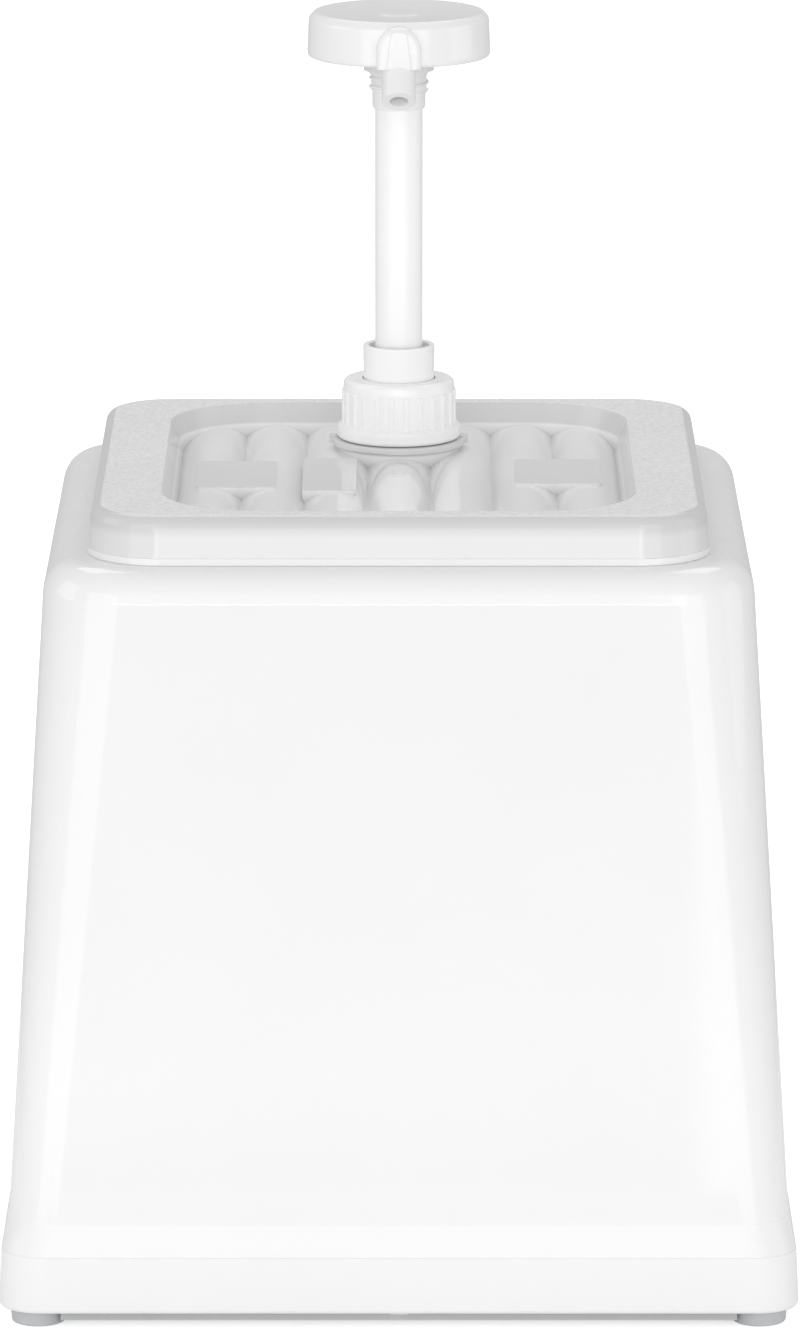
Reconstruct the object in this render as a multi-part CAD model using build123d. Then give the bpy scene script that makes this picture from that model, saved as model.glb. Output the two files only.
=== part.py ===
from build123d import *
from math import cos, radians, sin
import os

os.makedirs("parts", exist_ok=True)

# A free-standing pump dispenser. The origin is on the table under the middle of the housing,
# +Z is up and -Y is the front, where the spout points. Sizes are in millimetres.

# Housing
BASE_Z = 5.6          # underside of the skirt
SKIRT_TOP_Z = 25.6
BODY_FOOT_Z = 35.0    # where the flare meets the tapered sides
TOP_Z = 264.0
BASE_HALF = 138.7
SKIRT_TOP_HALF = 137.75
FLARE_FOOT_HALF = 137.4
BODY_FOOT_HALF = 135.2
TOP_HALF = 121.7
WALL = 3.0
TOP_EDGE_R = 12.0
OPENING_X = 205.0
OPENING_Y = 207.0

# Feet and base plate
FOOT_AT = 124.9
FOOT_R = 9.8
FOOT_TOP_Z = 9.5
PLATE_Z = 2.0
PLATE_T = 3.4
PLATE_HALF = 133.0
PLATE_SCREW_AT = 122.0
SCREW_R = 1.9
HEAD_R = 3.9
SCREW_PLAY = 0.06
SCREW_SEAT_Z = 4.2

# Bin
BIN_FLOOR_Z = 14.0
BIN_WALL = 2.5
BIN_RIM_T = 2.6

# Lid
LID_Z = 281.0
LID_FOOT_Z = TOP_Z + BIN_RIM_T
LID_X = 214.4
LID_Y = 222.2
LID_CORNER = 25.0
LID_DRAFT = 4.8
LID_EDGE_R = 4.5
LID_WALL = 2.5
WELL_X = 164.0
WELL_Y = 198.6
WELL_CORNER = 35.0
WELL_DRAFT = 20.0
RIDGES = 7
RIDGE_PITCH = 22.2
VALLEY_Z = 269.4
CREST_Z = 273.2
FLOOR_T = 2.2
PAD_Z = 274.0

# Pump, drawn about its own axis and set back from the middle of the lid
PUMP_Y = 54.0
THROAT_R = 22.0
THROAT_Z = 255.0
NECK_R = 17.2
NECK_BORE_R = 15.2
NECK_TOP_Z = 292.0
GASKET_T = 1.2
FLANGE_Z = 294.8      # top of the barrel's flange
CEILING_Z = 296.4     # inside of the cap's top
RING_R = 23.8
RING_Z = 274.6
RING_TOP_Z = 277.0
CAP_FOOT_Z = 277.2
CAP_TOP_Z = 298.8
CAP_BEAD_R = 22.15
CAP_R = 20.0
CAP_RIBS = 24
COLLAR_R = 12.85
COLLAR_BORE_R = 10.75
COLLAR_TOP_Z = 311.0
BORE_R = 10.6
BARREL_R = 12.2
STEM_R = 8.5
STEM_BORE_R = 6.4
HUB_FOOT_Z = 396.7
HUB_TOP_Z = 412.4
PISTON_Z = 266.0
CAGE_TOP_Z = 151.2
SPRING_WIRE_R = 0.75
KNOB_R = 32.6
KNOB_FOOT_Z = 415.6
KNOB_RIM_Z = 431.6
SPOUT_R = 5.95
SPOUT_BORE_R = 3.3
SPOUT_DROP = 50.0     # degrees below level
SPOUT_RUN = 24.0      # from the bend to the tip


def outline(half_x, half_y, corner, z):
    return Plane.XY.offset(z) * RectangleRounded(2 * half_x, 2 * half_y, corner)


def tier(foot, head):
    """A square tier between two (half width, corner radius, height) outlines."""
    low = outline(foot[0], foot[0], foot[1], foot[2])
    high = outline(head[0], head[0], head[1], head[2])
    return loft([low, high])


def disc(radius, z0, z1, x=0.0, y=0.0):
    return Pos(x, y, z0) * Cylinder(radius, z1 - z0, align=(Align.CENTER, Align.CENTER, Align.MIN))


def tube(outer, inner, z0, z1):
    return disc(outer, z0, z1) - disc(inner, z0 - 1, z1 + 1)


def block(x0, x1, y0, y1, z0, z1):
    centre = Pos((x0 + x1) / 2, (y0 + y1) / 2, (z0 + z1) / 2)
    return centre * Box(x1 - x0, y1 - y0, z1 - z0)


def turned(points):
    """A solid of revolution about Z from (radius, height) points."""
    profile = make_face(Polyline(*[(r, 0, z) for r, z in points], close=True))
    return revolve(profile, Axis.Z)


def loop_at(solid, z):
    """The edges that lie level at a height."""
    return [e for e in solid.edges() if abs(e.bounding_box().min.Z - z) < 0.01
            and abs(e.bounding_box().max.Z - z) < 0.01]


def thread(root, crest, pitch, turns, z):
    """A raised V thread on the outside of a cylinder."""
    path = Helix(pitch=pitch, height=pitch * turns, radius=root)
    flank = 0.32 * pitch
    section = Plane(origin=path @ 0, x_dir=(1, 0, 0), z_dir=path % 0)
    profile = section * make_face(Polyline((-0.3, -flank), (crest - root, -0.25 * flank),
                                           (crest - root, 0.25 * flank), (-0.3, flank), close=True))
    return Pos(0, 0, z) * sweep(profile, path=path, is_frenet=True)


def corners(at):
    return [(sx * at, sy * at) for sx in (-1, 1) for sy in (-1, 1)]


def around(solid, count=4):
    """Copies of a solid spaced evenly about Z."""
    return [Rot(0, 0, 360 / count * i) * solid for i in range(count)]


def make_shroud():
    body = tier((BODY_FOOT_HALF, 17, BODY_FOOT_Z), (TOP_HALF, 27, TOP_Z))
    body = fillet(body.faces().sort_by(Axis.Z)[-1].edges(), TOP_EDGE_R)
    flare = tier((FLARE_FOOT_HALF, 15.2, SKIRT_TOP_Z), (BODY_FOOT_HALF, 17, BODY_FOOT_Z))
    skirt = tier((BASE_HALF, 14.5, BASE_Z), (SKIRT_TOP_HALF, 15.5, SKIRT_TOP_Z))
    skirt = fillet(skirt.faces().sort_by(Axis.Z)[0].edges(), 1.6)
    skirt = fillet(skirt.faces().sort_by(Axis.Z)[-1].edges(), 0.3)
    shell = body + flare + skirt
    shell = fillet(loop_at(shell, BODY_FOOT_Z), 24.0)
    room = tier((BODY_FOOT_HALF - WALL, 14, BODY_FOOT_Z), (TOP_HALF - WALL, 24, TOP_Z - WALL - 0.5))
    room = fillet(room.faces().sort_by(Axis.Z)[-1].edges(), 8.5)
    low = tier((BODY_FOOT_HALF - WALL, 14, SKIRT_TOP_Z - 3), (BODY_FOOT_HALF - WALL, 14, BODY_FOOT_Z))
    bay = tier((BASE_HALF - WALL, 12, BASE_Z - 1), (BASE_HALF - WALL - 0.6, 12, SKIRT_TOP_Z - 3))
    shell -= room + low + bay
    for x, y in corners(FOOT_AT):
        shell += disc(8, FOOT_TOP_Z, 40, x, y) & tier((136, 13, BASE_Z), (BODY_FOOT_HALF - 1, 16, 41))
        shell -= disc(FOOT_R + 0.3, BASE_Z - 1, FOOT_TOP_Z, x, y)
        shell -= disc(SCREW_R + SCREW_PLAY, FOOT_TOP_Z - 1, 26, x, y)
    seat = PLATE_Z + PLATE_T
    boss = disc(5, seat, seat + 17, PLATE_SCREW_AT)
    boss += block(PLATE_SCREW_AT, BASE_HALF - 1.5, -3, 3, seat, seat + 17)
    boss -= disc(SCREW_R + SCREW_PLAY, seat - 1, seat + 13, PLATE_SCREW_AT)
    for copy in around(boss):
        shell += copy
    mouth = extrude(outline(OPENING_X / 2, OPENING_Y / 2, 31, TOP_Z - 20), 30)
    shell -= mouth
    inner = [e for e in loop_at(shell, TOP_Z)
             if max(abs(e.center().X), abs(e.center().Y)) < OPENING_Y / 2 + 1]
    return fillet(inner, 1.2)


def make_base_plate():
    plate = extrude(outline(PLATE_HALF, PLATE_HALF, 11, PLATE_Z), PLATE_T)
    for x, y in corners(FOOT_AT):
        plate -= disc(FOOT_R + 1.5, 0, 20, x, y)
        plate -= block(min(x, x * 1.2), max(x, x * 1.2), min(y, y * 1.2), max(y, y * 1.2), 0, 20)
    hole = disc(SCREW_R + 0.3, 0, 20, PLATE_SCREW_AT) + disc(HEAD_R + 0.4, 0, SCREW_SEAT_Z, PLATE_SCREW_AT)
    for copy in around(hole):
        plate -= copy
    return plate


def make_foot(x, y):
    foot = Cone(FOOT_R - 0.5, FOOT_R, FOOT_TOP_Z, align=(Align.CENTER, Align.CENTER, Align.MIN))
    foot = fillet(foot.edges().sort_by(Axis.Z)[0], 0.7)
    foot -= disc(HEAD_R + 0.8, -1, SCREW_SEAT_Z)
    foot -= disc(SCREW_R + 0.3, 0, 20)
    return Pos(x, y, 0) * foot


def make_screw(x, y, length):
    """A pan-head screw driven upwards, its head sunk in a foot or in the plate."""
    seat = SCREW_SEAT_Z
    head = disc(HEAD_R, seat - 2.2, seat)
    head = fillet(head.edges().sort_by(Axis.Z)[0], 1.1)
    head -= block(-3, 3, -0.45, 0.45, seat - 3, seat - 1.2)
    head -= block(-0.45, 0.45, -3, 3, seat - 3, seat - 1.2)
    shank = disc(SCREW_R, seat - 0.1, seat + length)
    return Pos(x, y, 0) * (head + shank)


def make_bin():
    wall = loft([outline(92, 93, 24, BIN_FLOOR_Z), outline(100, 101, 30, TOP_Z)])
    wall = fillet(wall.faces().sort_by(Axis.Z)[0].edges(), 7)
    rim = extrude(outline(LID_X / 2 + 0.2, LID_Y / 2 + 0.2, LID_CORNER + 0.2, TOP_Z), BIN_RIM_T)
    rim = fillet(rim.edges().group_by(Axis.Z)[-1] + rim.edges().group_by(Axis.Z)[0], 0.4)
    t = BIN_WALL
    room = loft([outline(92 - t, 93 - t, 22, BIN_FLOOR_Z + t), outline(100 - t, 101 - t, 28, TOP_Z + 3)])
    room = fillet(room.faces().sort_by(Axis.Z)[0].edges(), 5)
    return wall + rim - room


def below_ridges(drop):
    """Everything under the wavy floor surface, lowered by a drop."""
    rise = CREST_Z - VALLEY_Z
    start = -RIDGES * RIDGE_PITCH / 2
    arcs = []
    for i in range(RIDGES):
        x = start + i * RIDGE_PITCH
        z = VALLEY_Z - drop
        arcs.append(ThreePointArc((x, 0, z), (x + RIDGE_PITCH / 2, 0, z + rise), (x + RIDGE_PITCH, 0, z)))
    end = -start
    z = VALLEY_Z - drop
    sides = Polyline((end, 0, z), (end + 30, 0, z), (end + 30, 0, 230), (start - 30, 0, 230),
                     (start - 30, 0, z), (start, 0, z))
    face = make_face(Wire(arcs + sides.edges()))
    return extrude(face, 130, dir=(0, 1, 0), both=True)


def well_prism(grow):
    """The drafted tray volume, from above the lid down past its floor."""
    top = outline(WELL_X / 2 + grow, WELL_Y / 2 + grow, WELL_CORNER + grow, LID_Z)
    return extrude(top, -24, taper=WELL_DRAFT)


def make_pads():
    places = ((-71.4, -43.4, -23.0, 24.0), (-34.0, -15.0, -28.5, 29.5), (41.0, 71.5, -16.0, 27.5))
    pads = []
    for x0, x1, y0, y1 in places:
        pad = block(x0, x1, y0, y1, 262, PAD_Z)
        pad = fillet(pad.edges().filter_by(Axis.Z), 1.6)
        pads.append(pad - below_ridges(1.0))
    return pads


def make_throat():
    """The pump's neck with its skirt under the tray, about the pump's own axis."""
    skirt = turned([(THROAT_R - 2.4, THROAT_Z), (THROAT_R + 0.2, THROAT_Z), (THROAT_R, RING_Z + 0.5),
                    (THROAT_R - 2.4, RING_Z + 0.5)])
    ring = fillet(disc(RING_R, RING_Z, RING_TOP_Z).edges(), 0.7)
    neck = disc(NECK_R, RING_TOP_Z - 1, NECK_TOP_Z)
    neck = fillet(neck.edges().sort_by(Axis.Z)[-1], 0.6)
    lugs = block(RING_R - 3, RING_R + 1.2, -1.6, 1.6, RING_Z + 0.4, RING_TOP_Z + 1.0)
    lugs += block(-RING_R - 1.2, -RING_R + 3, -1.6, 1.6, RING_Z + 0.4, RING_TOP_Z + 1.0)
    lugs -= disc(CAP_BEAD_R + 0.4, RING_TOP_Z, NECK_TOP_Z)
    spiral = thread(NECK_R, 18.5, 4.2, 2.2, RING_TOP_Z + 3.6)
    return skirt + ring + neck + lugs + spiral - disc(NECK_BORE_R, 240, 330)


def make_lid():
    foot = outline(LID_X / 2, LID_Y / 2, LID_CORNER, LID_FOOT_Z)
    top = extrude(foot, LID_Z - LID_FOOT_Z, taper=LID_DRAFT)
    top = fillet(top.faces().sort_by(Axis.Z)[-1].edges(), LID_EDGE_R)
    t = LID_WALL
    inside = outline(LID_X / 2 - t, LID_Y / 2 - t, LID_CORNER - t, LID_FOOT_Z)
    room = extrude(inside, LID_Z - LID_FOOT_Z - t, taper=LID_DRAFT)
    room = fillet(room.faces().sort_by(Axis.Z)[-1].edges(), LID_EDGE_R - 1.5)
    lid = top - room
    rail = extrude(outline(96.6, 97.6, 27, 258), LID_Z - 1 - 258) - extrude(outline(94.6, 95.6, 25, 257), 30)
    lid += rail
    lid += well_prism(t) - below_ridges(FLOOR_T)
    lid -= well_prism(0) - below_ridges(0)
    for pad in make_pads():
        lid += pad
    lid -= disc(4.3, CREST_Z - 0.5, CREST_Z + 1, 0, 3)
    lid -= disc(THROAT_R - 1, 240, 300, 0, PUMP_Y)
    lid += Pos(0, PUMP_Y, 0) * make_throat()
    rim = [e for e in loop_at(lid, LID_Z) if abs(e.center().X) < WELL_X / 2 + 1
           and abs(e.center().Y) < WELL_Y / 2 + 1]
    return fillet(rim, 1.2)


def make_cap():
    outer = turned([(0, CAP_FOOT_Z), (CAP_BEAD_R, CAP_FOOT_Z), (CAP_BEAD_R, CAP_FOOT_Z + 4.6), (CAP_R, 283),
                    (CAP_R, 295.5), (CAP_R - 0.3, CAP_TOP_Z), (0, CAP_TOP_Z)])
    rims = [e for e in outer.edges() if e.geom_type == GeomType.CIRCLE]
    foot = [e for e in rims if abs(e.radius - CAP_BEAD_R) < 0.01]
    outer = fillet(foot, 1.4)
    crown = [e for e in outer.edges() if abs(e.center().Z - CAP_TOP_Z) < 0.01]
    outer = fillet(crown, 1.8)
    for i in range(CAP_RIBS):
        rib = block(CAP_R - 0.6, CAP_R + 0.6, -0.95, 0.95, 281.2, 294.6)
        rib = fillet(rib.faces().sort_by(Axis.X)[-1].edges(), 0.45)
        outer += Rot(0, 0, 360 / CAP_RIBS * (i + 0.5)) * rib
    outer -= disc(18.9, CAP_FOOT_Z - 1, CEILING_Z)
    return outer - disc(COLLAR_R + 0.35, 290, 310)


def make_collar():
    """The stem guide: a sleeve above the cap, a captive flange, and a plug in the barrel."""
    shape = turned([(COLLAR_BORE_R, COLLAR_TOP_Z), (COLLAR_R, COLLAR_TOP_Z), (COLLAR_R - 0.25, CEILING_Z),
                    (15.4, CEILING_Z), (15.4, FLANGE_Z), (11.95, FLANGE_Z), (11.95, 285.8),
                    (STEM_R + 0.06, 285.8), (STEM_R + 0.06, 289.4), (COLLAR_BORE_R, 291.8)])
    lip = [e for e in shape.edges() if abs(e.center().Z - COLLAR_TOP_Z) < 0.01]
    return fillet(lip, 0.5)


def make_neck_gasket():
    return tube(17.0, 14.2, NECK_TOP_Z, NECK_TOP_Z + GASKET_T)


def make_cylinder():
    """The barrel: flange, guide socket, bore, intake chamber and tail socket."""
    under = NECK_TOP_Z + GASKET_T
    return turned([(12.0, FLANGE_Z), (17.2, FLANGE_Z), (17.2, under), (13.9, under), (13.9, 283.9),
                   (BARREL_R, 280.4), (BARREL_R, 150), (8.2, 143), (8.2, 120), (6.06, 120), (6.06, 134),
                   (3.6, 134), (3.6, 136), (5.9, 138.4), (5.9, 149), (BORE_R, 149), (BORE_R, 283.8),
                   (12.0, 285.7)])


def make_cage():
    """The spring's seat, which also keeps the intake ball from lifting too far."""
    ring = tube(10.4, 5.2, 149, CAGE_TOP_Z)
    return ring + block(-7, 7, -1.2, 1.2, 149.4, CAGE_TOP_Z)


def make_spring():
    foot = CAGE_TOP_Z + SPRING_WIRE_R
    reach = PISTON_Z - SPRING_WIRE_R - foot
    path = Helix(pitch=reach / 9, height=reach, radius=8.6)
    section = Plane(origin=path @ 0, z_dir=path % 0)
    return Pos(0, 0, foot) * sweep(section * Circle(SPRING_WIRE_R), path=path, is_frenet=True)


def make_dip_tube():
    """A straight pipe with a slanted foot, so the bin's floor can't close it."""
    pipe = tube(6.0, 4.5, 24, 133.9)
    return pipe - Pos(0, 0, 28) * Rot(0, 30, 0) * Pos(0, 0, -10) * Box(40, 40, 20)


def make_stem():
    return tube(STEM_R, STEM_BORE_R, 276.0, 408.0)


def make_piston():
    """The plunger: a grooved head, the discharge valve's chamber and a spigot in the stem."""
    return turned([(3.4, PISTON_Z), (10.2, PISTON_Z), (10.2, 268.4), (9.0, 268.4), (9.0, 271.6),
                   (10.2, 271.6), (10.2, 275.9), (6.34, 275.9), (6.34, 288), (5.0, 288), (5.0, 272.2),
                   (3.4, 270.6)])


def make_retainer():
    """The pressed-in star that keeps the discharge ball in its chamber."""
    ring = tube(4.96, 3.9, 281.2, 283.0)
    bar = block(-4.3, 4.3, -0.6, 0.6, 281.2, 283.0)
    return ring + bar + Rot(0, 0, 90) * bar


def make_lock_hub():
    """The threaded nipple under the knob: it takes the stem's end in its bore."""
    bore = STEM_R + 0.06
    body = turned([(bore, HUB_FOOT_Z), (9.2, HUB_FOOT_Z), (9.5, 398.0), (9.5, 402.6), (9.9, 403.2),
                   (9.9, 408.4), (11.2, 410.4), (12.5, 410.4), (12.5, HUB_TOP_Z), (6.0, HUB_TOP_Z),
                   (6.0, 408.05), (bore, 408.05)])
    return body + thread(9.9, 10.65, 3.1, 1.7, 402.9)


def spout_route():
    """Level from the middle of the knob, round a bend, then down to the tip."""
    drop = radians(SPOUT_DROP)
    elbow = (0, -23.4, 423.2)
    tip = (0, elbow[1] - SPOUT_RUN * cos(drop), elbow[2] - SPOUT_RUN * sin(drop))
    return FilletPolyline((0, 0, elbow[2]), elbow, tip, radius=8)


def spout_pipe(radius):
    path = spout_route()
    start = Plane(origin=path @ 0, z_dir=path % 0)
    return sweep(start * Circle(radius), path=path)


def make_boss():
    """The rounded boss on the knob's front, with the raised spine down its middle."""
    front = -KNOB_R - 3.2
    spring_z = 421.5
    arch = Pos(0, spring_z) * Ellipse(7.9, 9.0)
    arch += Pos(0, (KNOB_FOOT_Z + spring_z) / 2) * Rectangle(15.8, spring_z - KNOB_FOOT_Z)
    arch &= Pos(0, KNOB_FOOT_Z + 20) * Rectangle(40, 40)
    boss = extrude(Plane.XZ.offset(-front - 9) * arch, 9)
    edge = [e for e in boss.edges() if abs(e.center().Y - front) < 0.01 and e.center().Z > KNOB_FOOT_Z + 0.1]
    boss = fillet(edge, 2.4)
    rib = make_face(Polyline((-4.4, KNOB_FOOT_Z), (4.4, KNOB_FOOT_Z), (2.8, 429.2), (-2.8, 429.2),
                             close=True))
    spine = extrude(Plane.XZ.offset(-front - 5) * rib, 5.9)
    spine = fillet(spine.faces().sort_by(Axis.Z)[-1].edges().filter_by(Axis.Y), 2.2)
    ridge = [e for e in spine.edges() if abs(e.center().Y - front + 0.9) < 0.01]
    return boss + fillet(ridge, 0.5)


def make_knob():
    """The push knob: a dished disc with a skirt, a hub, and the spout that runs through it."""
    foot = KNOB_FOOT_Z
    rim = KNOB_RIM_Z
    r = KNOB_R
    edges = [Polyline((r - 7.5, 0, rim - 2.6), (r - 3.2, 0, rim - 4), (r - 2.4, 0, foot), (r - 0.2, 0, foot),
                      (r, 0, foot + 2), (r - 0.5, 0, rim - 2.4), (r - 2.6, 0, rim)),
             ThreePointArc((r - 2.6, 0, rim), (19, 0, rim - 0.55), (7.9, 0, rim - 0.9)),
             Polyline((7.9, 0, rim - 0.9), (7.5, 0, rim - 0.5), (0, 0, rim - 0.5), (0, 0, rim - 4)),
             Polyline((0, 0, rim - 4), (6, 0, rim - 4), (6, 0, HUB_TOP_Z), (11.4, 0, HUB_TOP_Z),
                      (11.4, 0, rim - 3.4), (r - 7.5, 0, rim - 2.6))]
    body = revolve(make_face(edges), Axis.Z)
    soft = [e for e in body.edges() if e.geom_type == GeomType.CIRCLE and abs(e.center().Z - foot) < 0.01
            and e.radius > r - 1]
    body = fillet(soft, 1.2)
    crown = [e for e in body.edges() if e.geom_type == GeomType.CIRCLE and e.radius > r - 3
             and e.center().Z > rim - 3 and e.radius > r - 2.7]
    body = fillet(crown, 1.5)
    body += make_boss() + spout_pipe(SPOUT_R)
    body -= spout_pipe(SPOUT_BORE_R)
    return body - disc(5.2, HUB_TOP_Z - 1, 424)


def save(name, shape):
    export_step(shape, f"parts/{name}.step")
    print(name, len(shape.solids()), round(shape.volume))


def group(solids):
    return Compound(children=[s for solid in solids for s in solid.solids()])


ON_PUMP = Pos(0, PUMP_Y, 0)

save("shroud", make_shroud())
save("base_plate", make_base_plate())
for (x, y), name in zip(corners(FOOT_AT), ("front_left", "back_left", "front_right", "back_right")):
    save("foot_" + name, make_foot(x, y))
save("foot_screws", group([make_screw(x, y, 16) for x, y in corners(FOOT_AT)]))
save("base_plate_screws", group(around(make_screw(PLATE_SCREW_AT, 0, 13))))
save("food_bin", make_bin())
save("pump_lid", make_lid())
save("pump_cap", ON_PUMP * make_cap())
save("guide_collar", ON_PUMP * make_collar())
save("neck_gasket", ON_PUMP * make_neck_gasket())
save("pump_cylinder", ON_PUMP * make_cylinder())
save("intake_ball_cage", ON_PUMP * make_cage())
save("intake_ball", ON_PUMP * Pos(0, 0, 139.5) * Sphere(4.8))
save("dip_tube", ON_PUMP * make_dip_tube())
save("return_spring", ON_PUMP * make_spring())
save("stem_tube", ON_PUMP * make_stem())
save("piston", ON_PUMP * make_piston())
save("piston_seal", ON_PUMP * tube(10.54, 9.05, 268.5, 271.5))
save("discharge_ball", ON_PUMP * Pos(0, 0, 273.4) * Sphere(4.2))
save("discharge_ball_retainer", ON_PUMP * make_retainer())
save("lock_hub", ON_PUMP * make_lock_hub())
save("pump_knob", ON_PUMP * make_knob())
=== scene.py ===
# %% [markdown]
# # A condiment pump dispenser
# A white counter-top dispenser: a tapered plastic housing, a bin for the sauce inside it, a lid with a
# drip tray, and a pump that is pushed down by its knob. The solids come from a CAD model and stay as
# they are. This notebook gives each one the surface of its real counterpart, then sets up a small
# photo studio and a camera. Everything is in metres.

# %% Load the frame
import math

import bpy
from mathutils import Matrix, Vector

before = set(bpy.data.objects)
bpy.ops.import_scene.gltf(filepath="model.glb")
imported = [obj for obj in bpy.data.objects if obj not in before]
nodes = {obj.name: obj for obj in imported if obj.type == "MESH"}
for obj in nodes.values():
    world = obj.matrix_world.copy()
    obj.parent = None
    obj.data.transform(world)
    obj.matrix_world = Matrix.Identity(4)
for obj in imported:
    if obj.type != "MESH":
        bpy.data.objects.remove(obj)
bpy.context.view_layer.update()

MM = 0.001

# %% [markdown]
# ## Three helpers
# People read colours as sRGB hex, but light is added up in linear values, so one function converts
# them. A shader is a tree of nodes joined by wires, and a second function adds any node with its
# fields, its sockets' own values and its wires, so that each recipe below reads from top to bottom.
# The third turns the real size of a feature into the scale that a noise texture wants.


# %% Colour, node and scale helpers
def linear(hex_colour):
    """An sRGB hex colour as linear RGBA."""
    parts = [int(hex_colour[i:i + 2], 16) / 255 for i in (1, 3, 5)]
    return [p / 12.92 if p <= 0.04045 else ((p + 0.055) / 1.055) ** 2.4 for p in parts] + [1.0]


def add(tree, kind, values=None, links=None, **fields):
    """A new node with its fields, its sockets' own values and its incoming wires."""
    node = tree.nodes.new(kind)
    for name, value in fields.items():
        setattr(node, name, value)
    for socket, value in (values or {}).items():
        node.inputs[socket].default_value = value
    for socket, source in (links or {}).items():
        tree.links.new(source, node.inputs[socket])
    return node


def per_metre(size_mm):
    """A texture's scale from the real size of one feature."""
    return 1000.0 / size_mm


print("white in linear light:", linear("#ffffff")[:3])

# %% [markdown]
# ## Injection-moulded plastic
# Nearly all of this object is moulded plastic. A moulded skin copies the polished steel it froze on: it
# is smooth, but the part shrinks as it cools, so it waves a little, and it carries a faint haze and
# flow marks where the melt cooled unevenly. Each plastic could have its own tree, but they differ only
# in their numbers. So one function holds the recipe: two close tones in soft patches, a roughness that
# drifts, and a shallow bump. Each plastic then says how pale, how glossy and how coarse it is.
#
# A Mix node has many sockets with the same name, so its sockets are given by number here: 6 and 7 are
# the two colours and output 2 is their mixture, while 2 and 3 are the two plain numbers and output 0 is
# theirs.


# %% The moulded plastic recipe
def moulded(name, tones, roughness, ior, grain_mm, relief_mm, patch_mm, **sockets):
    """A moulded plastic: tones and roughness drift in patches, relief_mm is the skin's depth."""
    material = bpy.data.materials.new(name)
    material.use_nodes = True
    tree = material.node_tree
    shader = tree.nodes["Principled BSDF"]
    place = add(tree, "ShaderNodeTexCoord")
    patches = add(tree, "ShaderNodeTexNoise", {"Scale": per_metre(patch_mm), "Detail": 3.0},
                  {"Vector": place.outputs["Object"]})
    tint = add(tree, "ShaderNodeMix", {6: linear(tones[0]), 7: linear(tones[1])},
               {"Factor": patches.outputs["Fac"]}, data_type="RGBA")
    tree.links.new(tint.outputs[2], shader.inputs["Base Color"])
    drift = add(tree, "ShaderNodeMapRange", {"From Min": 0.3, "From Max": 0.7, "To Min": roughness[0],
                                             "To Max": roughness[1]}, {"Value": patches.outputs["Fac"]})
    tree.links.new(drift.outputs["Result"], shader.inputs["Roughness"])
    skin = add(tree, "ShaderNodeTexNoise", {"Scale": per_metre(grain_mm), "Detail": 4.0},
               {"Vector": place.outputs["Object"]})
    bump = add(tree, "ShaderNodeBump", {"Strength": 1.0, "Distance": relief_mm * MM},
               {"Height": skin.outputs["Fac"]})
    tree.links.new(bump.outputs["Normal"], shader.inputs["Normal"])
    shader.inputs["IOR"].default_value = ior
    for socket, value in sockets.items():
        shader.inputs[socket.replace("_", " ")].default_value = value
    print("material", name)
    return material


def paint(material, *names):
    """Gives CAD nodes their material."""
    for name in names:
        mesh = nodes[name].data
        mesh.materials.clear()
        mesh.materials.append(material)
    print(material.name, "on", ", ".join(names))


# %% [markdown]
# ## The housing
# The housing is ABS, the plastic of phone cases and toy bricks, moulded against polished steel. ABS takes
# a high gloss and is opaque, so lamps show in it as crisp pale shapes, and its large flat walls have a
# slight waviness about a centimetre across. The foot is wiped along with the counter every day, and
# that has rubbed it satin, so there the lamps are only a soft glow.

# %% Gloss ABS
# Injection-moulded ABS: a bright neutral white under a hard, mirror-like skin.
gloss_abs = moulded("gloss_moulded_abs", tones=("#f0f0f0", "#f3f3f3"), roughness=(0.03, 0.05), ior=1.54,
                    grain_mm=14.0, relief_mm=0.0015, patch_mm=60.0)
paint(gloss_abs, "shroud")

# %% The wiped foot
SATIN_START = 42.0 * MM
SATIN_FULL = 34.0 * MM
SATIN = 0.34

abs_tree = gloss_abs.node_tree
abs_shader = abs_tree.nodes["Principled BSDF"]
abs_place = add(abs_tree, "ShaderNodeTexCoord")
abs_axes = add(abs_tree, "ShaderNodeSeparateXYZ", links={"Vector": abs_place.outputs["Object"]})
wiped = add(abs_tree, "ShaderNodeMapRange", {"From Min": SATIN_START, "From Max": SATIN_FULL},
            {"Value": abs_axes.outputs["Z"]}, interpolation_type="SMOOTHSTEP")
polished = abs_shader.inputs["Roughness"].links[0].from_socket
abs_roughness = add(abs_tree, "ShaderNodeMix", {3: SATIN}, {"Factor": wiped.outputs["Result"], 2: polished},
                    data_type="FLOAT")
abs_tree.links.new(abs_roughness.outputs[0], abs_shader.inputs["Roughness"])
print("satin below", SATIN_FULL, "m")

# %% [markdown]
# ## The pump
# Pump parts are polypropylene, softer than ABS and a little waxy, so their highlights are broader. The
# stem and the ribbed cap are solid white. The knob is a hollow shell that a hand has to grip, and its
# tone is a shade deeper. The hub below it and the hidden works inside are the same plastic with less
# white in it.

# %% White and natural polypropylene
# White stock: the brightest parts, with wide soft highlights.
white_pp = moulded("white_moulded_polypropylene", tones=("#fafafa", "#fefefe"), roughness=(0.20, 0.28),
                   ior=1.49, grain_mm=6.0, relief_mm=0.002, patch_mm=25.0, Specular_IOR_Level=0.8)
# The knob's mould is finer, so its highlights are tighter.
knob_pp = moulded("satin_moulded_polypropylene", tones=("#f2f2f2", "#f7f7f7"), roughness=(0.10, 0.16),
                  ior=1.49, grain_mm=7.0, relief_mm=0.002, patch_mm=25.0, Specular_IOR_Level=0.8)
# The threaded hub: a duller skin, so its threads read by shade alone.
hub_pp = moulded("less_white_polypropylene", tones=("#f0f0f0", "#f6f6f5"), roughness=(0.28, 0.36), ior=1.49,
                 grain_mm=5.0, relief_mm=0.002, patch_mm=12.0)
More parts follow.
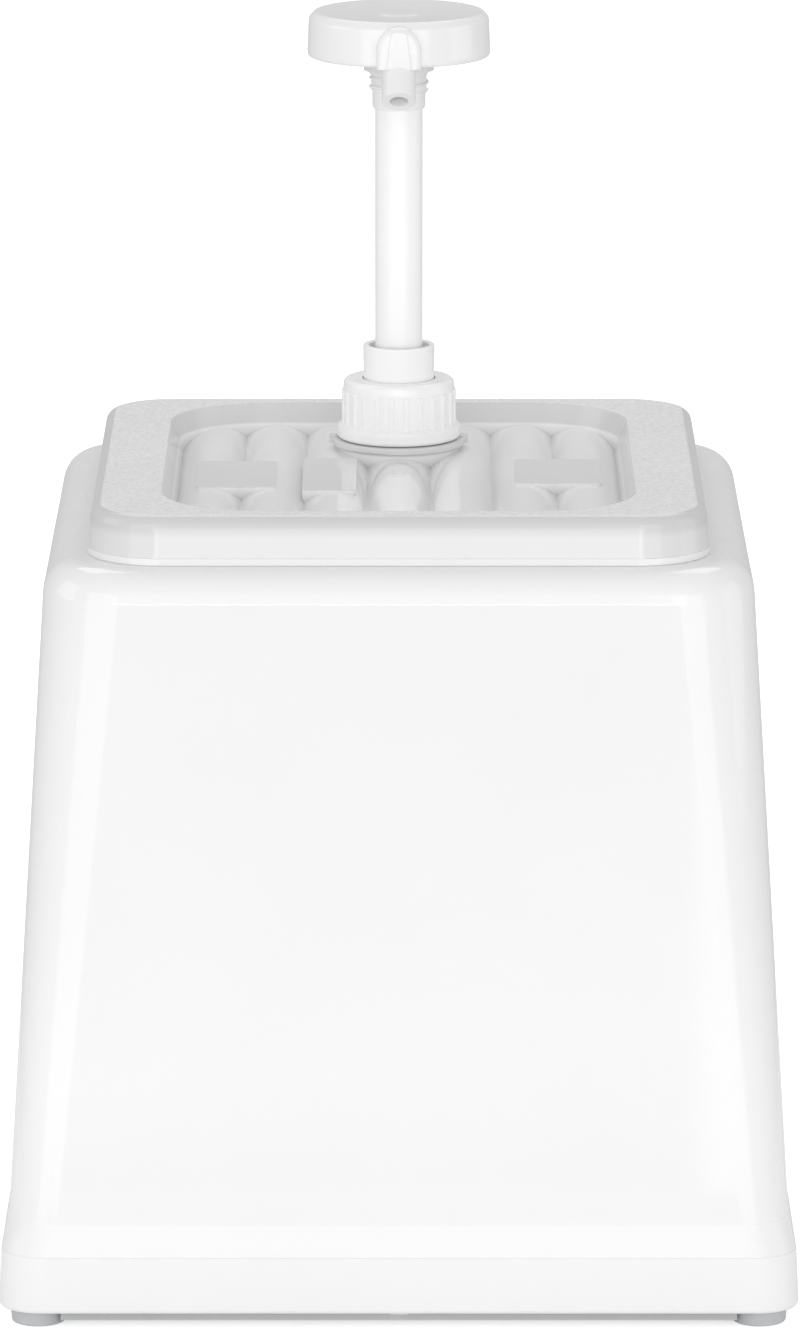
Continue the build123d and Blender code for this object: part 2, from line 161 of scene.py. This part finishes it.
# Uncoloured stock of the inner works: greyer and slightly uneven.
natural_pp = moulded("natural_moulded_polypropylene", tones=("#dfe1e0", "#e8e9e8"), roughness=(0.25, 0.35),
                     ior=1.49, grain_mm=5.0, relief_mm=0.006, patch_mm=20.0)
paint(white_pp, "stem_tube", "pump_cap", "guide_collar")
paint(knob_pp, "pump_knob")
paint(hub_pp, "lock_hub")
paint(natural_pp, "pump_cylinder", "intake_ball_cage", "piston", "discharge_ball_retainer", "dip_tube")

# %% [markdown]
# ## The bin and the lid
# Both are frosted polypropylene. The lid is one moulding with four finishes. Its flat top was moulded
# against spark-eroded steel, which leaves a dry grain of fine pits. The rounded edge around it is smooth,
# and its deeper tone is painted shade. The walls of the tray and the valleys of its ridges are darkened
# with painted shade, and the crests of its ridges are lightened with a painted highlight. The outer wall
# is smooth, and its tone is a painted shade a little deeper than the top's. The masks that tell the zones
# apart come from the lid's own heights and its tray's outline. The grain is drawn about 1 mm across,
# three times as coarse as the real one, so that it shows.

# %% Frosted polypropylene
# Half-clear plastic: a soft grey-white with a wet-looking skin.
frosted = moulded("frosted_moulded_polypropylene", tones=("#ececec", "#f0f0f0"), roughness=(0.05, 0.09),
                  ior=1.49, grain_mm=8.0, relief_mm=0.002, patch_mm=30.0)
paint(frosted, "food_bin")

LID_TOP = 0.281
TOP_SKIN = 0.25 * MM
EDGE_END = 8.0 * MM
EDGE_FULL = 4.3 * MM
TRAY_HALF_X = 84.0 * MM
TRAY_HALF_Y = 101.5 * MM
RIDGE_VALLEY = 0.2694
RIDGE_CREST = 0.2732
GRAIN_MM = 1.1
PIT_DEPTH = 0.05 * MM

# %% Masks for the lid's zones
lid_pp = frosted.copy()
lid_pp.name = "spark_grained_polypropylene_painted_light"
lid_tree = lid_pp.node_tree
lid_shader = lid_tree.nodes["Principled BSDF"]
lid_place = add(lid_tree, "ShaderNodeTexCoord")
lid_axes = add(lid_tree, "ShaderNodeSeparateXYZ", links={"Vector": lid_place.outputs["Object"]})
on_top = add(lid_tree, "ShaderNodeMapRange",
             {"From Min": LID_TOP - TOP_SKIN, "From Max": LID_TOP - 0.02 * MM},
             {"Value": lid_axes.outputs["Z"]}, interpolation_type="SMOOTHSTEP")
# Height band of the rounded edge, where its painted shade goes.
painted_shade_edge_band = add(lid_tree, "ShaderNodeMapRange",
              {"From Min": LID_TOP - EDGE_END, "From Max": LID_TOP - EDGE_FULL},
              {"Value": lid_axes.outputs["Z"]}, interpolation_type="SMOOTHSTEP")
above_ridges = add(lid_tree, "ShaderNodeMapRange",
                   {"From Min": RIDGE_CREST + 0.3 * MM, "From Max": RIDGE_CREST + 1.0 * MM},
                   {"Value": lid_axes.outputs["Z"]})
across = add(lid_tree, "ShaderNodeMath", links={0: lid_axes.outputs["X"]}, operation="ABSOLUTE")
along = add(lid_tree, "ShaderNodeMath", links={0: lid_axes.outputs["Y"]}, operation="ABSOLUTE")
inside_x = add(lid_tree, "ShaderNodeMath", {1: TRAY_HALF_X}, {0: across.outputs["Value"]},
               operation="LESS_THAN")
inside_y = add(lid_tree, "ShaderNodeMath", {1: TRAY_HALF_Y}, {0: along.outputs["Value"]},
               operation="LESS_THAN")
in_tray = add(lid_tree, "ShaderNodeMath", links={0: inside_x.outputs["Value"], 1: inside_y.outputs["Value"]},
              operation="MULTIPLY")
print("edge zone", EDGE_END, "m deep, tray", 2 * TRAY_HALF_X, "by", 2 * TRAY_HALF_Y, "m")

# %% Tones of the lid's zones, as shares of the plastic's own tone: the grain's own spread on the top, painted shade and highlight elsewhere
GRAIN_TONES = (0.86, 1.05)
# Painted shade in the ridges' valleys and a painted highlight on their crests.
RIDGE_PAINTED_SHADE_AND_HIGHLIGHT = (0.84, 1.06)
# Painted shade on the tray's walls.
TRAY_WALL_PAINTED_SHADE = 0.85
# Painted shade on the outer wall, a little deeper than the top.
OUTER_WALL_PAINTED_SHADE = 0.86
# Painted shade on the rounded edge.
EDGE_PAINTED_SHADE = 0.75

grit = add(lid_tree, "ShaderNodeTexNoise", {"Scale": per_metre(GRAIN_MM), "Detail": 2.0, "Roughness": 0.7},
           {"Vector": lid_place.outputs["Object"]})
speck = add(lid_tree, "ShaderNodeMapRange", {"From Min": 0.35, "From Max": 0.65, "To Min": GRAIN_TONES[0],
                                             "To Max": GRAIN_TONES[1]}, {"Value": grit.outputs["Fac"]})
# Painted shade: the rounded edge darker than the outer wall.
edge_painted_shade = add(lid_tree, "ShaderNodeMix", {2: OUTER_WALL_PAINTED_SHADE, 3: EDGE_PAINTED_SHADE},
                {"Factor": painted_shade_edge_band.outputs["Result"]}, data_type="FLOAT")
# The tray's painted light: shade in the valleys and on the walls, a highlight on the crests.
ridge_painted_shade_and_highlight = add(lid_tree, "ShaderNodeMapRange",
                 {"From Min": RIDGE_VALLEY, "From Max": RIDGE_CREST, "To Min": RIDGE_PAINTED_SHADE_AND_HIGHLIGHT[0],
                  "To Max": RIDGE_PAINTED_SHADE_AND_HIGHLIGHT[1]}, {"Value": lid_axes.outputs["Z"]})
tray_floor_painted_light = add(lid_tree, "ShaderNodeMix", {3: TRAY_WALL_PAINTED_SHADE},
                 {"Factor": above_ridges.outputs["Result"], 2: ridge_painted_shade_and_highlight.outputs["Result"]},
                 data_type="FLOAT")
# Painted light and shade of the tray inside its outline, painted shade of the edge and outer wall outside it.
tray_and_wall_painted_light = add(lid_tree, "ShaderNodeMix",
                links={"Factor": in_tray.outputs["Value"], 2: edge_painted_shade.outputs[0], 3: tray_floor_painted_light.outputs[0]},
                data_type="FLOAT")
# The grain's own tone on the top, the painted light and shade everywhere else.
grain_and_painted_light = add(lid_tree, "ShaderNodeMix",
                links={"Factor": on_top.outputs["Result"], 2: tray_and_wall_painted_light.outputs[0],
                       3: speck.outputs["Result"]}, data_type="FLOAT")
skin_colour = lid_shader.inputs["Base Color"].links[0].from_socket
# The plastic's colour times these tones, so the painted light and shade go into its colour.
lid_colour_with_painted_light = add(lid_tree, "ShaderNodeMix", {"Factor": 1.0}, {6: skin_colour, 7: grain_and_painted_light.outputs[0]},
                 data_type="RGBA", blend_type="MULTIPLY")
lid_tree.links.new(lid_colour_with_painted_light.outputs[2], lid_shader.inputs["Base Color"])
print("grain", GRAIN_MM, "mm")

# %% Roughness and pits of the lid's top
DRY = 0.55

smooth = lid_shader.inputs["Roughness"].links[0].from_socket
lid_roughness = add(lid_tree, "ShaderNodeMix", {3: DRY}, {"Factor": on_top.outputs["Result"], 2: smooth},
                    data_type="FLOAT")
lid_tree.links.new(lid_roughness.outputs[0], lid_shader.inputs["Roughness"])
pits = add(lid_tree, "ShaderNodeMath", links={0: grit.outputs["Fac"], 1: on_top.outputs["Result"]},
           operation="MULTIPLY")
moulded_skin = lid_shader.inputs["Normal"].links[0].from_socket
sparks = add(lid_tree, "ShaderNodeBump", {"Strength": 1.0, "Distance": PIT_DEPTH},
             {"Height": pits.outputs["Value"], "Normal": moulded_skin})
lid_tree.links.new(sparks.outputs["Normal"], lid_shader.inputs["Normal"])
paint(lid_pp, "pump_lid")

# %% [markdown]
# ## Feet, plate, seals and metal
# The feet are moulded grey rubber, dull and finely pitted. The base plate is polypropylene with a
# mineral filler, which dulls it. The pale grey of both is partly their own colour and partly painted
# light, lightened to lift the shade under the skirt. The flat gasket under the pump cap is white foam,
# pale and dry, and the piston's seal is black elastomer. Balls, spring and screws are stainless steel:
# a metal has no colour of its own in its depth, only in its reflection.

# %% Rubber, filled plastic, seals and steel
# Grey rubber: no highlight at all, only a fine dusty grain. Its pale grey is partly painted light that lifts
# the shade under the skirt.
foot_rubber_with_painted_light = moulded("moulded_grey_rubber_with_painted_light", tones=("#bcbec0", "#c6c7c9"), roughness=(0.62, 0.75), ior=1.52,
                      grain_mm=0.9, relief_mm=0.03, patch_mm=9.0)
# Mineral-filled plate: a flat grey that sits in the shadow under the skirt, lightened with painted light to
# lift that shadow.
plate_pp_with_painted_light = moulded("filled_polypropylene_with_painted_light", tones=("#c0c1c2", "#c9cacb"), roughness=(0.5, 0.6), ior=1.49,
                   grain_mm=1.2, relief_mm=0.03, patch_mm=30.0)
# Foam washer: chalky and full of tiny cells.
gasket_foam = moulded("cut_white_foam", tones=("#dddddd", "#e6e6e6"), roughness=(0.7, 0.8), ior=1.45,
                      grain_mm=0.6, relief_mm=0.02, patch_mm=6.0)
# Elastomer seal: near black with a dull sheen.
seal_rubber = moulded("moulded_black_elastomer", tones=("#1d1d1e", "#242425"), roughness=(0.4, 0.5), ior=1.5,
                      grain_mm=2.0, relief_mm=0.01, patch_mm=10.0)
# Drawn steel: bright grey reflections, blurred by fine scratches.
steel = moulded("drawn_stainless_steel", tones=("#b9b9ba", "#c4c4c5"), roughness=(0.22, 0.34), ior=1.5,
                grain_mm=0.6, relief_mm=0.004, patch_mm=5.0, Metallic=1.0)
paint(foot_rubber_with_painted_light, "foot_front_left", "foot_front_right", "foot_back_left", "foot_back_right")
paint(plate_pp_with_painted_light, "base_plate")
paint(gasket_foam, "neck_gasket")
paint(seal_rubber, "piston_seal")
paint(steel, "return_spring", "intake_ball", "discharge_ball", "foot_screws", "base_plate_screws")

# %% [markdown]
# ## The studio
# The object stands on white paper that runs on behind it, as in a product studio. Paper that glows a
# little is the quickest way to a floor that stays white far away. It would also light the object from
# below, more than real paper does, so the glowing sheet is left out of all rays but the camera's, and a
# small table top under the object takes its place for shading and bounce.


# %% Floor
def floor_disc(name, radius, height):
    """A round sheet of paper, cut as a fan of triangles."""
    sides = 96
    points = [(0.0, 0.0, height)]
    for i in range(sides):
        turn = 2 * math.pi * i / sides
        points.append((radius * math.cos(turn), radius * math.sin(turn), height))
    faces = [(0, 1 + i, 1 + (i + 1) % sides) for i in range(sides)]
    mesh = bpy.data.meshes.new(name)
    mesh.from_pydata(points, [], faces)
    sheet = bpy.data.objects.new(name, mesh)
    bpy.context.scene.collection.objects.link(sheet)
    print(name, "radius", radius)
    return sheet


def paper(name, glow):
    """Matte white paper that glows by itself a little."""
    material = bpy.data.materials.new(name)
    material.use_nodes = True
    sheet = material.node_tree.nodes["Principled BSDF"]
    sheet.inputs["Base Color"].default_value = linear("#f2f2f2")
    sheet.inputs["Roughness"].default_value = 0.9
    sheet.inputs["Specular IOR Level"].default_value = 0.0
    sheet.inputs["Emission Color"].default_value = linear("#ffffff")
    sheet.inputs["Emission Strength"].default_value = glow
    return material


floor = floor_disc("studio_floor", 12.0, -0.2 * MM)
floor.data.materials.append(paper("white_paper_sweep", 0.62))
floor.visible_diffuse = False
floor.visible_glossy = False
floor.visible_transmission = False
floor.visible_shadow = False
table_top = floor_disc("studio_table_top", 0.45, -0.4 * MM)
table_top.data.materials.append(paper("bounce_paper", 0.08))
table_top.visible_camera = False

# %% [markdown]
# ## Lamps
# The room itself gives most of the light, evenly from all sides. Two tall softboxes stand left and right
# of the camera, and their reflections are the pale strips beside the housing's front corners. A stack of
# wide lamps stands behind the camera, and the lowest and brightest of them draws the thin bright line
# along the front edge of the housing's top. Weaker lamps at the sides and one high at the back fill the
# rest. Each lamp's strength is given as how bright its face looks, which stays true when its size is
# changed. A table of lamps with a loop is easier to tune than a block of code for each.


# %% Softboxes
def softbox(name, place, target, width, height, glow):
    """A flat rectangular lamp; glow is how bright its face looks, where 1 is paper white."""
    lamp = bpy.data.lights.new(name, "AREA")
    lamp.shape = "RECTANGLE"
    lamp.size = width
    lamp.size_y = height
    lamp.energy = glow * math.pi * width * height
    holder = bpy.data.objects.new(name, lamp)
    holder.location = place
    holder.rotation_euler = (Vector(target) - Vector(place)).to_track_quat("-Z", "Y").to_euler()
    holder.visible_camera = False
    bpy.context.scene.collection.objects.link(holder)
    print(name, "lamp energy", round(lamp.energy, 2))


MIDDLE = (0.0, 0.0, 0.26)
RIGHT_CORNER = (0.12, -0.12, 0.35)
LEFT_CORNER = (-0.12, -0.12, 0.35)
PUMP_SIDE = (0.0, -0.1, 0.5)

# name, place, target, width, height, glow
LAMPS = (
    ("front_line", (0.0, -2.4, 0.28), MIDDLE, 1.1, 0.34, 2.7),
    ("front_middle", (0.0, -2.4, 0.8), MIDDLE, 1.2, 0.66, 0.7),
    ("front_high", (0.0, -2.35, 1.4), MIDDLE, 1.4, 0.66, 0.55),
    ("front_top", (0.0, -2.0, 2.1), MIDDLE, 1.6, 0.9, 0.3),
    ("back_top", (0.0, 1.4, 2.3), MIDDLE, 2.0, 1.2, 1.6),
    ("right", (0.93, -2.4, 0.5), RIGHT_CORNER, 1.6, 2.2, 1.1),
    ("left", (-1.12, -2.14, 0.5), LEFT_CORNER, 1.9, 2.2, 0.92),
    ("side_right", (2.2, -0.1, 0.8), PUMP_SIDE, 1.4, 1.6, 0.65),
    ("side_left", (-2.2, -0.1, 1.1), PUMP_SIDE, 1.4, 1.4, 0.95),
)
for lamp_row in LAMPS:
    softbox(*lamp_row)

# %% Room light
# The standard view keeps paper white at full white. A filmic one would grey it.
room = bpy.data.worlds.new("pale_room")
room.use_nodes = True
room.node_tree.nodes["Background"].inputs["Color"].default_value = linear("#ffffff")
room.node_tree.nodes["Background"].inputs["Strength"].default_value = 0.57
bpy.context.scene.world = room
bpy.context.scene.view_settings.view_transform = "Standard"
print("world", room.name)

# %% [markdown]
# ## The camera
# A long lens from about three metres keeps the housing's sides nearly straight, and its place a little
# above the object lets the top of the lid be seen.

# %% Camera
LENS_MM = 238.2
LOOK_DOWN = 12.5

camera_data = bpy.data.cameras.new("camera")
camera_data.lens = LENS_MM
camera_data.sensor_width = 36.0
camera_data.clip_end = 60.0
camera = bpy.data.objects.new("camera", camera_data)
camera.location = (0.0004, -3.0567, 0.8824)
camera.rotation_euler = (math.radians(90.0 - LOOK_DOWN), 0.0, 0.0)
bpy.context.scene.collection.objects.link(camera)
bpy.context.scene.camera = camera
print("camera lens", LENS_MM, "mm, looking down", LOOK_DOWN, "degrees")
